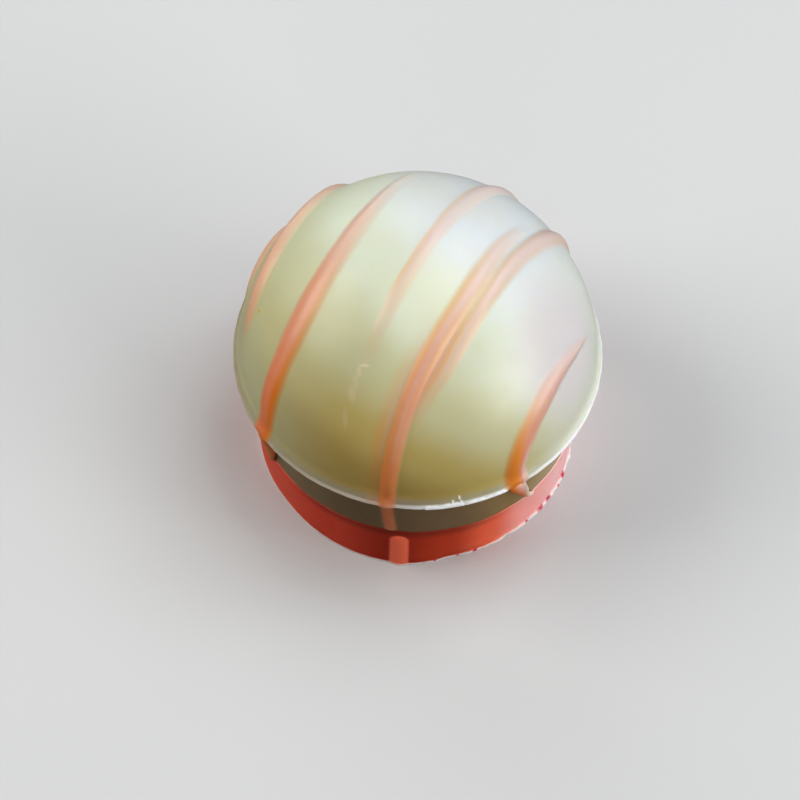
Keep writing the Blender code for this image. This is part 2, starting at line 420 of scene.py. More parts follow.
def whiteChocolate():
    look = whiteLook
    material, tree, grain = startMaterial("white_chocolate", look)
    tone = readTone(tree)
    # painted light and shade: the dome's colours follow the lit side's tone
    colour = cloudTinted(tree, grain, colourStops(tree, tone, look["tones"]), look)
    sideways = sidewaysPlace(tree)
    # painted light: paler tints on the far sides
    for tint, share, (first, last) in look["sideTints"]:
        colour = blendColour(tree, mapRange(tree, sideways, first * mm, last * mm, 0.0, share), colour, tint)
    # the patches, the cooler right one a painted shade
    for tint, spot in look["patches"]:
        colour = blendColour(tree, spotMask(tree, [spot]), colour, tint)
    # painted shade greying the dome above the lip, then a painted highlight along the lip's edge
    lip = readPaint(tree, "lip")
    for low, high, stops in ((0.0, 0.5, look["fades"]), (0.5, 1.0, look["edges"])):
        share = mapRange(tree, lip, low, high, 0.0, 1.0, "LINEAR")
        colour = blendColour(tree, share, colour, sidewaysTones(tree, stops, look["reach"]))
    colour = blendColour(tree, spotMask(tree, look["smears"]), colour, look["smear"])
    colour = blendColour(tree, spotMask(tree, look["dots"]), colour, look["dot"])
    colour = layDrizzle(tree, colour, grain, tone, readPaint(tree, "milk"))
    colour = blendColour(tree, readPaint(tree, "scrape"), colour, look["scrape"])
    finishSurface(tree, grain, look, colour)
    return material


bandLook = {
    "tones": (      # painted shade: the band lies in deep shade under the lip, so these run far deeper than its chocolate, from the left to the right
        (0.10, (0.285, 0.205, 0.12)),
        (0.35, (0.21, 0.145, 0.077)),
        (0.60, (0.256, 0.176, 0.099)),
        (0.78, (0.35, 0.247, 0.12)),
        (0.92, (0.52, 0.43, 0.29)),
    ),
    "reach": 13.7,  # mm either side of the middle
    "cloudTint": (0.92, 0.90, 0.86),
    "patchSize": 3.0,
    "grainSize": 0.22,
    "softness": 0.3,
    "softReach": (1.2, 0.8, 0.4),
    "roughness": (0.42, 0.52),
    "drizzleRoughness": 0.36,
    "grainStrength": 0.2,
}


def bandChocolate():
    look = bandLook
    material, tree, grain = startMaterial("band_chocolate", look)
    # painted shade: the band's colours
    colour = cloudTinted(tree, grain, sidewaysTones(tree, look["tones"], look["reach"]), look)
    finishSurface(tree, grain, look, layDrizzle(tree, colour, grain, readTone(tree)))
    return material


pinkLook = {
    "tones": (                       # painted shade and light: deep red in the shaded front, pale pink on the lit right, from the left to the right
        (0.05, (0.74, 0.117, 0.069)),
        (0.25, (0.645, 0.079, 0.035)),
        (0.42, (0.405, 0.031, 0.005)),
        (0.60, (0.59, 0.072, 0.02)),
        (0.72, (0.93, 0.195, 0.097)),
        (0.84, (0.99, 0.46, 0.435)),
        (0.95, (0.99, 0.60, 0.61)),
    ),
    "reach": 13.7,                   # mm either side of the middle
    "cloudTint": (0.98, 0.94, 0.92),
    "deepTint": (0.62, 0.58, 0.60),  # painted shade: how much deeper its front is at its upper and lower edges
    "stroke": (0.90, 0.21, 0.115),   # the stroke of drizzle on its front
    "flash": (0.93, 0.80, 0.78),     # the thin flash at the foot's lower edge
    "speck": (0.60, 0.01, 0.08),     # dark red specks in it
    "patchSize": 3.5,
    "grainSize": 0.2,
    "softness": 0.35,
    "softReach": (1.3, 0.35, 0.2),
    "roughness": (0.40, 0.50),
    "drizzleRoughness": 0.34,
    "grainStrength": 0.2,
}


def pinkChocolate():
    look = pinkLook
    material, tree, grain = startMaterial("pink_chocolate", look)
    # painted shade and light: the foot's colours
    colour = cloudTinted(tree, grain, sidewaysTones(tree, look["tones"], look["reach"]), look)
    # painted shade at the front's upper and lower edges
    colour = blendColour(tree, readPaint(tree, "deep"), colour, look["deepTint"], "MULTIPLY")
    for paint, tint in (("cover", "stroke"), ("flash", "flash"), ("speck", "speck")):
        colour = blendColour(tree, readPaint(tree, paint), colour, look[tint])
    finishSurface(tree, grain, look, colour)
    return material


runLook = {
    "pink": (0.92, 0.24, 0.105),
    "warm": (0.80, 0.23, 0.02),  # the tints of its orange side, partly painted shade, and its milky side, partly a painted highlight
    "milk": (0.95, 0.72, 0.64),
    "cloudTint": (1.0, 0.93, 0.88),
    "patchSize": 2.5,
    "grainSize": 0.2,
    "softness": 0.3,
    "softReach": (1.0, 0.4, 0.25),
    "roughness": 0.34,
    "grainStrength": 0.1,
}


def drizzleFinish():
    # the free hanging runs, whose drizzle is thicker and deeper in tone than on the dome
    look = runLook
    material, tree, grain = startMaterial("drizzle", look)
    colour = blendColour(tree, readPaint(tree, "warm"), look["pink"], look["warm"])
    colour = blendColour(tree, readPaint(tree, "milk"), colour, look["milk"])
    finishSurface(tree, grain, look, cloudTinted(tree, grain, colour, look))
    return material


materials = {
    "white_chocolate": whiteChocolate(),
    "band_chocolate": bandChocolate(),
    "pink_chocolate": pinkChocolate(),
    "drizzle": drizzleFinish(),
}
print("finishes ready:", sorted(materials))


# The dome: part of a sphere that flares out to a thin lip. Lengths in mm, angles in degrees.

domeSizes = {
    "sphereRadius": 14.67,
    "sphereSink": 1.43,           # how far the sphere's centre lies below the lip
    "lipRadius": 15.0,
    "lipHeight": 12.2,
    "lipRise": 0.26,              # the lip's top over that height
    "lipThickness": 0.60,
    "lipSlope": 0.2,              # how far its edge leans out towards its underside
    "flareRise": 1.3,
    "flareBend": (0.11, 0.45),    # the flare bends this far outside the sphere's end and above the lip's top
    "undercut": 0.5,
    "underside": (0.3, -0.4),     # where its flat part is pinned, beside the wall's radius
    "wallRadius": 13.65,
    "columns": 720,
    "sphereRows": 108,
    "flareRows": 9,
    "edgeRows": 9,
    "beadHeight": 0.36,
    "surfaceWave": (0.012, 5.0),  # how uneven the moulded skin is, and over what length
    "lipWave": (0.025, 1.6),      # and the same for the lip
    "lipWaveRows": (4, 6),        # how many rows past the sphere that sets in, and over how many
    "lipEdge": (0.32, 0.52),      # mm over the lip's underside between which its painted highlight fades out
    "lipFade": (0.5, 1.25),       # and between which the painted shade above it does
    "lipShare": 0.5,              # share of the strands' height that is left on the lip
    "fadeRows": 4,                # rows over which that height falls off
}
sphereHeight = domeSizes["lipHeight"] - domeSizes["sphereSink"]
flareStart = domeSizes["lipHeight"] + domeSizes["flareRise"]
lipTop = domeSizes["lipHeight"] + domeSizes["lipRise"]

# Each strand crosses the dome in the upright plane whose plan line has this bearing. Its course gives, at
# arcs in degrees over the dome, 0 behind and 180 in front: the arc, how far it passes from the axis, its
# width, its share of the common height, how much it covers, how it pales with a painted highlight on its lit
# side (above 0 to the right, below 0 to the left), and how orange its left and right edges are, partly the
# thin film's own orange and partly painted shade, where a share over 1 reaches past its middle. Soft is how
# wide its left and right edges fade, in half widths, and the milky share how milky and pale it is, a painted
# highlight on the right rim. A strand without height is a thin film.
strands = {
    "rim": {"bearing": 60.5, "soft": (0.6, 0.6), "milk": 0.4, "course": (
        (35, 13.57, 1, 0, 0, 0, 0, 0.1), (60, 13.57, 1.4, 0.8, 0.7, 0, 0, 0.1),
        (92, 13.57, 1.6, 1, 0.8, 0, 0.1, 0.2), (125, 13.57, 1.4, 0.7, 0.7, 0, 0.2, 0.4),
        (150, 13.57, 1, 0, 0, 0, 0.3, 0.5))},
    "left": {"bearing": 61, "soft": (0.5, 0.9), "milk": 0.3, "course": (
        (22, 10.90, 1, 0, 0, 0.2, 0, 0), (45, 11.05, 1.6, 1.4, 0.8, 0.2, 0, 0),
        (80, 11.25, 2, 1.5, 0.85, 0.3, 0, 0.1), (105, 11.30, 2.1, 1.4, 0.85, 0.2, 0, 0.3),
        (125, 11.30, 2.2, 1, 0.8, 0.1, 0.2, 0.6), (140, 11.20, 2.1, 0.5, 0.5, 0, 0.5, 0.9),
        (152, 11.10, 1.6, 0, 0, 0, 0.6, 0.9))},
    "second": {"bearing": 57.5, "soft": (0.8, 1), "course": (
        (50, 5.35, 1, 0, 0, 0.5, 0, 0), (68, 5.28, 1.2, 0.6, 0.35, 0.5, 0, 0),
        (86, 5.12, 1.5, 0.75, 0.8, 0.5, 0, 0), (104, 5.02, 1.85, 0.6, 0.88, 0.35, 0.1, 0.2),
        (122, 5.01, 2, 0.55, 0.95, 0.25, 0.2, 0.6), (138, 5.15, 1.95, 0.6, 0.97, 0.1, 0, 1),
        (155, 5.40, 1.85, 0.65, 1, 0, 0, 1.4), (168, 5.46, 1.7, 0.35, 1, 0, 0, 1.2),
        (180, 5.52, 1.6, 0.2, 1, 0, 0, 1))},
    "middle": {"bearing": 59.3, "soft": (0.7, 0.9), "course": (
        (0, -1.90, 1.2, 0.9, 0.7, 0, 0.3, 0.3), (45, -0.70, 1.5, 0.9, 0.6, 0.2, 0.4, 0.2),
        (69, -0.50, 1.4, 0.7, 0.6, 0.4, 0.5, 0.2), (84, -0.50, 1.2, 0.6, 0.7, 0.4, 0.6, 0.2),
        (95, -0.58, 1.15, 0.5, 0.7, 0.45, 0.7, 0.3), (106, -0.64, 1.15, 0.35, 0.55, 0.35, 0.7, 0.3),
        (117, -0.80, 1.05, 0.15, 0.24, 0.2, 0.6, 0.2), (126, -0.90, 0.95, 0, 0.07, 0, 0.5, 0),
        (134, -1.00, 0.9, 0, 0, 0, 0.5, 0))},
    "pairLeft": {"bearing": 61.6, "soft": (0.8, 0.6), "course": (
        (58, -5.35, 0.9, 0, 0, 0.3, 0.2, 0.2), (70, -5.08, 1.15, 0.6, 0.4, 0.3, 0.4, 0.3),
        (79, -4.95, 1.3, 0.8, 0.65, 0.3, 0.5, 0.4), (94, -4.93, 1.5, 0.7, 0.8, 0.25, 0.9, 0.9),
        (104, -4.82, 1.52, 0.7, 0.8, 0.2, 0.9, 0.9), (111, -4.66, 1.5, 0.7, 0.85, 0.15, 0.9, 0.8),
        (122, -4.50, 1.42, 0.7, 0.9, 0.1, 0.8, 0.5), (133, -4.44, 1.32, 0.7, 0.9, 0.1, 0.6, 0.2),
        (148, -4.60, 1.28, 0.8, 0.85, 0.15, 0.7, 0), (164, -4.75, 1.22, 0.8, 0.8, 0.1, 0.4, 0),
        (180, -4.95, 1.2, 0.8, 0.8, 0.1, 0.1, 0))},
    "pairRight": {"bearing": 58.3, "soft": (0.6, 0.7), "course": (
        (0, -6.40, 1.5, 0.9, 0.8, 0, 0.3, 0.3), (50, -6.30, 1.5, 1.1, 0.7, 0.1, 0.2, 0.2),
        (77, -6.15, 1.35, 0.8, 0.7, 0.2, 0.6, 0.4), (93, -6.24, 1.2, 0.7, 0.7, 0.2, 0.9, 0.7),
        (109, -6.32, 1.2, 0.5, 0.6, 0.1, 0.8, 0.5), (121, -6.22, 1.25, 0.3, 0.45, 0, 0.8, 0.6),
        (131, -5.95, 1.2, 0.1, 0.3, 0, 0.8, 0.6), (143, -5.65, 1.1, 0, 0, 0, 0.8, 0.6))},
    "right": {"bearing": 60.5, "soft": (0.9, 0.35), "course": (
        (55, -12.52, 0.6, 0, 0, -0.6, 0, 0), (66, -12.50, 0.8, 0.5, 0.4, -0.7, 0, 0),
        (76, -12.48, 1.1, 0.9, 0.7, -0.7, 0, 0), (90, -12.42, 1.5, 1, 0.75, -0.55, 0, 0),
        (104, -12.41, 1.8, 0.85, 0.78, -0.4, 0.2, 0), (131, -12.45, 1.85, 0.5, 0.95, -0.1, 1.1, 0),
        (147, -12.48, 1.8, 0.6, 1, 0, 2.1, 0), (160, -12.55, 1.8, 0.65, 1, 0, 2.5, 0),
        (180, -12.70, 1.7, 0.7, 1, 0, 2.5, 0))},
    # painted highlight: a pale rim along the right strand's right edge
    "rightRim": {"bearing": 60.5, "soft": (0.7, 0.7), "milk": 0.9, "course": (
        (118, -12.75, 0.4, 0, 0, 0, 0, 0), (135, -12.82, 0.45, 0, 0.3, 0, 0, 0),
        (150, -12.86, 0.5, 0, 0.7, 0, 0, 0), (180, -12.98, 0.5, 0, 0.85, 0, 0, 0))},
    "pairMerge": {"bearing": 60, "soft": (0.9, 0.9), "course": (
        (98, -5.35, 0.5, 0, 0, 0, 1, 1), (108, -5.40, 0.8, 0, 0.5, 0, 1, 1),
        (121, -5.45, 0.9, 0, 0.5, 0, 1, 1), (132, -5.30, 0.8, 0, 0.3, 0, 1, 1),
        (145, -5.20, 0.8, 0, 0, 0, 1, 1))},
    "pairFilm": {"bearing": 61.6, "soft": (1.6, 1), "course": (
        (105, -3.75, 0.9, 0, 0, 0, 1, 1), (122, -3.65, 1.1, 0, 0.2, 0, 1, 1),
        (135, -3.60, 1.3, 0, 0.32, 0, 1, 1), (148, -3.70, 1.4, 0, 0.38, 0, 1, 1),
        (165, -3.95, 1.3, 0, 0.22, 0, 1, 1), (180, -4.10, 1.2, 0, 0.1, 0, 1, 1))},
}

# How every strand swells and how its orange edges fade in, in half widths
beadShape = {
    "reach": 1.15,         # where its bell of height ends
    "power": 1.4,
    "swells": ((0.03, 0.19, 3.0), (0.015, 0.43, 0.0)),  # share of its width, pace, shift by its bearing
    "orange": (0.1, 0.8),  # where the orange sets in from the middle, and over how much
    "past": 0.5,           # how far a share over 1 moves that place back
}
scrape = {                   # the flakes left where the lip was scraped
    "span": (-88.0, -76.5),  # the bearings that they lie between
    "spikes": ((-79.4, 0.5), (-77.0, 0.75)),  # bearing and height of the two spikes
    "spikeHalf": 0.42,       # half width of a spike in degrees, and how far it leans
    "spikeLean": 1.2,
    "tall": 0.36,            # how far up the lip they reach
    "tail": (-62.0, 0.26),   # the bearing where they end on the right, and how far up they reach there
    "ends": 0.6,             # degrees over which they begin and end, and the same for the tail
    "tailEnds": 2.0,
    "ragged": (0.25, 0.7),   # how ragged they are, and over what length
    "height": 0.07,          # how far they stand out
}


def domeProfile():
    # radius and height down the profile: the sphere's arc, a quadratic flare, the lip's leaning edge with its
    # small lower rounding, the underside
    size = domeSizes
    lowest = math.asin((flareStart - sphereHeight) / size["sphereRadius"])
    turn = np.linspace(math.pi / 2, lowest, size["sphereRows"])
    radius = size["sphereRadius"] * np.cos(turn)
    height = sphereHeight + size["sphereRadius"] * np.sin(turn)
    t = np.linspace(0, 1, size["flareRows"] + 1)[1:]
    start = np.array([radius[-1], height[-1]])
    end = np.array([size["lipRadius"] - size["lipSlope"], lipTop])
    bend = np.array([start[0], end[1]]) + size["flareBend"]
    flare = (1 - t[:, None]) ** 2 * start + 2 * (t * (1 - t))[:, None] * bend + t[:, None] ** 2 * end
    bottom = lipTop - size["lipThickness"]
    lip = np.array([[-0.14, 0.86], [-0.10, 0.71], [-0.065, 0.57], [-0.03, 0.42], [0.0, 0.27], [0.02, 0.17],
                    [0.025, 0.09], [0.01, 0.03], [-0.03, 0.0]])
    lip = lip * (1, size["lipThickness"]) + (size["lipRadius"], bottom)
    under = size["lipHeight"] - size["undercut"]
    inner = np.array([[size["wallRadius"] + beside, under] for beside in size["underside"]] + [[0.0, under]])
    return np.vstack([np.stack([radius, height], axis=-1), flare, lip, inner])


def beadOn(places, strand):
    # A strand at each place: its height, how much its colour covers, and how orange that colour is. Across it
    # the height is a bell (1 - x^2)^power of the distance along the sphere and the cover a plateau with soft
    # edges; along it they follow a smooth curve through its course. Places are seen from the sphere's centre.
    shape, reach = beadShape, domeSizes["sphereRadius"]
    bearing = math.radians(strand["bearing"])
    ahead = places[..., 0] * math.cos(bearing) + places[..., 1] * math.sin(bearing)
    side = places[..., 1] * math.cos(bearing) - places[..., 0] * math.sin(bearing)
    arc = np.degrees(np.arctan2(places[..., 2], ahead))
    course = through(strand["course"], 400).T
    offset, width, height, cover, pales, warmLeft, warmRight = (
        np.interp(arc, course[0], line) for line in course[1:]
    )
    away = np.arcsin(offset / reach) - np.arcsin(np.clip(side / reach, -1, 1))
    swell = 1.0
    for share, pace, shift in shape["swells"]:
        swell = swell + share * np.sin(arc * pace + shift * strand["bearing"])
    right = away * reach / (width / 2 * swell)
    height = np.clip(height, 0, 2) * np.clip(1 - (right / shape["reach"]) ** 2, 0, 1) ** shape["power"]
    softLeft, softRight = strand["soft"]
    cover = np.clip(cover, 0, 1) * smooth((right + 1) / softLeft + 0.5)
    cover = cover * smooth((1 - right) / softRight + 0.5)
    # painted highlight: the cover thins towards a strand's lit side, so it pales there
    paleRight, paleLeft = np.clip(pales, 0, 1), np.clip(pales, -1, 0)
    cover = cover * np.clip(1 - paleRight * (1 + right) / 2 + paleLeft * (1 - right) / 2, 0, 1)
    start, fade = shape["orange"]
    # the orange edges: partly the thin film's own orange, partly painted shade on a bead's shaded side
    warm = sum(
        np.clip(share, 0, 1) * smooth((far - start + shape["past"] * np.clip(share - 1, 0, 2)) / fade)
        for share, far in ((warmLeft, -right), (warmRight, right))
    )
    return height, cover, warm


def scrapeOn(azimuth, over):
    # Ragged flakes on the lip's edge, over being the height over its underside: as tall as a ripple round the
    # lip gives between two bearings, taller at the spikes, and thinner along a tail.
    first, last = scrape["span"]
    end, thin = scrape["tail"]
    ends, tailEnds = scrape["ends"], scrape["tailEnds"]
    share, length = scrape["ragged"]
    ragged = 1.0 + share * ripple(around(azimuth, domeSizes["lipRadius"], 0.0), length, 31)
    tall = scrape["tall"] * smooth((azimuth - first) / ends) * smooth((last - azimuth) / ends)
    tail = thin * smooth((azimuth - last) / tailEnds) * smooth((end - azimuth) / tailEnds)
    tall = np.maximum(tall, tail) * ragged
    for bearing, more in scrape["spikes"]:
        beside = azimuth + scrape["spikeLean"] * (over - 0.4) - bearing
        tall = tall + more * smooth(1 - np.abs(beside) / scrape["spikeHalf"])
    return smooth((tall - over) / 0.1 + 0.5) * (tall > 0.02)


def makeDome():
    # The profile is turned about the axis. The drizzle lifts each point along the surface's own normal by its
    # bead height; past the flare it goes straight out over the lip, and ends below it.
    size = domeSizes
    profile = domeProfile()
    azimuth = bearingRow(size["columns"])
    points = around(azimuth, profile[:, :1], profile[:, 1:])
    normals = rowNormals(points)
    normals[0] = (0, 0, 1)
    normals[-2:] = (0, 0, -1)
    onSphere = size["sphereRows"]
    places = points.copy()
    places[onSphere:] = points[onSphere - 1]
    places = places - np.array([0, 0, sphereHeight])
    beads = [beadOn(places, strand) for strand in strands.values()]
    heights, covers, warmths = (np.stack(parts) for parts in zip(*beads))
    height = np.sum(np.maximum(heights, 0) ** 3, axis=0) ** (1 / 3)
    cover = 1 - np.prod(1 - covers, axis=0)
    warm = np.sum(warmths * covers, axis=0) / np.maximum(np.sum(covers, axis=0), 1e-6)
    # the milky share, which on the right rim strand is a painted highlight
    milk = np.max([part * strand.get("milk", 0.0) for part, strand in zip(covers, strands.values())], axis=0)
    milk = milk / np.maximum(cover, 1e-6)
    row = np.arange(len(profile))[:, None]
    edgeRow = onSphere + size["flareRows"] + size["edgeRows"]
    fadeRows = size["fadeRows"]
    height = height * (1 - smooth((row - edgeRow + fadeRows) / fadeRows))
    lessened = smooth((row - onSphere + fadeRows) / (size["flareRows"] + fadeRows))
    height = height * (1 - (1 - size["lipShare"]) * lessened)
    firstRow, rowsIn = size["lipWaveRows"]
    near = smooth((row - onSphere - firstRow) / rowsIn) * (row < edgeRow + 1)
    (skinWave, skinLength), (lipWave, lipLength) = size["surfaceWave"], size["lipWave"]
    wave = skinWave * ripple(points, skinLength, 3) * (row < edgeRow)
    wave = wave + lipWave * ripple(points, lipLength, 5) * near
    over = profile[:, 1:] - (lipTop - size["lipThickness"])
    flakes = scrapeOn(azimuth, over) * (row < edgeRow)
    points = points + normals * (wave + size["beadHeight"] * height + scrape["height"] * flakes)[..., None]
    lip = sum(0.5 * smooth((high - over) / (high - low)) for low, high in (size["lipEdge"], size["lipFade"]))
    makePiece("dome_skin", points, "dome", "white_chocolate",
              cover=cover, warm=warm, milk=milk, lip=lip * (row <= edgeRow), scrape=flakes)


makeDome()


# The walls: the band set in under the lip, and the pink foot

wallSizes = {
    "bandRadius": 13.65,
    "footRadius": 13.72,
    "footRounding": 0.12,
    "columns": 720,
    "bandRows": 48,
    "footRows": 58,
    "beadHeight": 0.36,
    "unevenness": 0.02,              # how uneven the walls are, and over what length
    "waveLength": 3.0,
    "bandOverlap": (0.05, 0.1),      # how far the band's skin runs on under the lip and behind the foot
    "deepHeight": 1.4,               # mm under the foot's upper edge over which its front has painted shade
    "deepLow": (0.35, 1.2),          # how much painted shade it has at its lower edge, and over how many mm
    "front": (-142.0, -52.0, 20.0),  # the bearings where that begins and ends, and over how many degrees
    "cornerRows": 8,
    "flashHeight": 0.5,              # under this height the rows lie closer, for the flash
    "flashRows": 12,
    "runPower": 0.9,                 # how full the runs on the walls are across
}
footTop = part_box("foot")[1].z / mm
dropTop = domeSizes["lipHeight"] - domeSizes["undercut"]

# Drizzle on a wall: bearing and height at its upper and lower end, full width, share of the full height, how
# much it covers, how wide its edge fades, in half widths, and how orange it is
bandRuns = {
    "streak": {"top": (-101.2, 12.2), "foot": (-98.5, 4.9), "width": 1.0, "share": 0.2, "cover": 0.72,
               "soft": 0.9},
    "rearRight": {"top": (30.5, 9.8), "foot": (28.5, 5.9), "width": 1.0, "share": 0.9, "cover": 0.9,
                  "soft": 0.3, "warm": 0.2},
}
footRuns = {
    "tab": {"top": (-95.6, 4.4), "foot": (-95.6, -0.6), "width": 1.55, "share": 0.5, "cover": 1.0,
            "soft": 0.3},
}


def runOn(azimuth, height, radius, runs):
    # Runs down a wall with round ends: height, cover and orange share. Each is a bell (1 - x^2)^power of the
    # distance to the line between the middles of its two ends.
    rise = np.zeros(np.broadcast(azimuth, height).shape)
    cover, warm = rise.copy(), rise.copy()
    here = np.stack(np.broadcast_arrays(np.radians(azimuth) * radius, height), axis=-1)
    for run in runs.values():
        top, foot = (np.array([math.radians(run[end][0]) * radius, run[end][1]]) for end in ("top", "foot"))
        half = run["width"] / 2
        inset = (foot - top) / np.linalg.norm(foot - top) * half
        first, line = top + inset, foot - top - 2 * inset
        t = np.clip((here - first) @ line / (line @ line), 0, 1)
        x = np.linalg.norm(here - first - t[..., None] * line, axis=-1) / half
        rise = np.maximum(rise, run["share"] * np.clip(1 - x**2, 0, 1) ** wallSizes["runPower"])
        cover = np.maximum(cover, run["cover"] * smooth((1.0 - x) / run["soft"] + 0.5))
        warm = np.where(x < 1.5, run.get("warm", 0.0), warm)
    return rise, cover, warm


def makeBand():
    # a turned wall whose radius is a little uneven, lifted outwards by the runs on it
    size = wallSizes
    above, below = size["bandOverlap"]
    heights = np.linspace(dropTop + above, footTop - below, size["bandRows"])
    heights = np.concatenate([heights[:1], heights, heights[-1:]])[:, None]
    radius = np.full_like(heights, size["bandRadius"])
    radius[[0, -1]] = 0.0
    azimuth = bearingRow(size["columns"])
    points = around(azimuth, radius, heights)
    drizzle, cover, warm = runOn(azimuth, heights, size["bandRadius"], bandRuns)
    wall = radius > 0
    uneven = size["unevenness"] * ripple(points, size["waveLength"], 11)
    lift = (size["beadHeight"] * drizzle + uneven) * wall
    points = points + around(azimuth, 1.0, 0.0) * lift[..., None]
    makePiece("band_skin", points, "band", "band_chocolate", cover=cover * wall, warm=warm)


# The thin ragged flash at the foot's lower edge, and the specks in it
flashSizes = {
    "left": 0.06,                       # how far it stands out on the left
    "right": 0.20,                      # and on the right
    "rightSide": (-100.0, 60.0, 60.0),  # the bearings where that begins and ends, and over how many degrees
    "least": 0.02,
    "ragged": 0.12,                     # how much it varies, in waves of a share, a length and a seed
    "waves": ((0.6, 1.3, 21), (0.4, 0.5, 22)),
    "height": 0.16,
    "foot": 2.2,                        # how far up it blends into the wall, in heights
    "pale": (0.6, 0.9),                 # where its pale colour fades out, and over how much, in heights
    "specks": ((-23.8, 0.35), (-34.8, 0.30), (-39.6, 0.28), (-68.7, 0.25), (-83.0, 0.12), (-28.5, 0.15),
               (-47.0, 0.14), (-75.0, 0.14)),  # bearing and radius of the dark red specks
    "speckHeight": 0.12,
    "speckStretch": (1.2, 0.8),         # how wide and how tall a speck is against its radius
}


# The foot spreads a little towards its lower edge: bearing and how far it stands out there, smoothed over a
# few columns either side, and growing with this power of the way down
spreadSmooth, spreadPower = 6, 1.3
footSpread = (
    (-180, 0.05), (-151, 0.10), (-144, 0.06), (-135, 0.10), (-128, 0.20), (-121, 0.28), (-109, 0.34),
    (-96, 0.42), (-91, 0.42), (-87, 0.28), (-82, 0.16), (-78, -0.05), (-71, -0.02), (-60, -0.05), (-45, 0.0),
    (-37, 0.08), (-30, 0.10), (0, 0.05), (180, 0.05),
)


def makeFoot():
    # a turned disc with a rounded upper edge, lifted by the drizzle on it, whose lowest rows stand out as a
    # ragged flash
    size, flash = wallSizes, flashSizes
    wide, rounding = size["footRadius"], size["footRounding"]
    corner = np.linspace(math.pi / 2, 0, size["cornerRows"])
    wall = np.linspace(footTop - rounding, size["flashHeight"], size["footRows"])[1:]
    low = np.linspace(size["flashHeight"], 0.0, size["flashRows"])[1:]
    radius = wide - rounding + rounding * np.concatenate([np.cos(corner), np.ones(len(wall) + len(low))])
    radius = np.concatenate([[0.0, wide - 1.0], radius, [0.0]])[:, None]
    heights = np.concatenate([footTop - rounding + rounding * np.sin(corner), wall, low])
    heights = np.concatenate([[footTop, footTop], heights, [0.0]])[:, None]
    azimuth = bearingRow(size["columns"])
    points = around(azimuth, radius, heights)
    rim = around(azimuth, wide, 0.0)
    drizzle, cover, _ = runOn(azimuth, heights, wide, footRuns)
    side = radius > wide - rounding
    spread = np.interp(azimuth, *np.array(footSpread).T)
    spread = np.mean([np.roll(spread, step) for step in range(-spreadSmooth, spreadSmooth + 1)], axis=0)
    first, last, fade = flash["rightSide"]
    right = smooth((azimuth - first) / fade) * smooth((last - azimuth) / fade)
    reach = flash["left"] + (flash["right"] - flash["left"]) * right
    uneven = sum(share * ripple(rim, length, seed) for share, length, seed in flash["waves"])
    uneven = uneven * (0.1 + 0.9 * right)
    reach = np.maximum(flash["least"], reach + flash["ragged"] * uneven)
    tall = flash["height"] * (1 + 0.5 * ripple(rim, 0.8, 23) * (0.2 + 0.8 * right))
    lift = size["beadHeight"] * drizzle + size["unevenness"] * ripple(points, size["waveLength"], 12)
    lift = lift + reach * smooth(1.0 - heights / (flash["foot"] * tall))
    lift = lift + spread * np.clip(1 - heights / footTop, 0, 1) ** spreadPower
    here = np.stack(np.broadcast_arrays(np.radians(azimuth) * wide, heights), axis=-1)
    speck = np.zeros(here.shape[:-1])
    speckEdge = 1 + 0.35 * ripple(points, 0.35, 24)
    for bearing, spot in flash["specks"]:
        middle = (math.radians(bearing) * wide, flash["speckHeight"])
        away = np.linalg.norm((here - middle) / flash["speckStretch"], axis=-1) * speckEdge
        speck = np.maximum(speck, smooth(1.3 - away / spot))
    paleTo, paleFade = flash["pale"]
    pale = smooth(1.0 - (heights - paleTo * tall) / (paleFade * tall)) * smooth(reach / 0.08)
    first, last, fade = size["front"]
    front = smooth((azimuth - first) / fade) * smooth((last - azimuth) / fade)
    # painted shade along the front's upper and lower edges
    deepShare, deepReach = size["deepLow"]
    deep = smooth((heights - footTop + size["deepHeight"]) / size["deepHeight"])
    deep = (deep + deepShare * smooth(1.0 - heights / deepReach)) * front
    points = points + around(azimuth, 1.0, 0.0) * (lift * side)[..., None]
    makePiece("foot_skin", points, "foot", "pink_chocolate",
              cover=cover * side, flash=pale * side, speck=speck * side, deep=deep)


makeBand()
makeFoot()


# The runs that hang free between the lip and the walls. Each follows points (bearing, radius, height), and
# has its width along the rim and its depth outwards at each point. Warm and the milky share are how orange
# and how pale its left and right sides are, held between 0 and 1 on the way across: the orange is partly
# painted shade, and the pale right edges are a painted highlight.

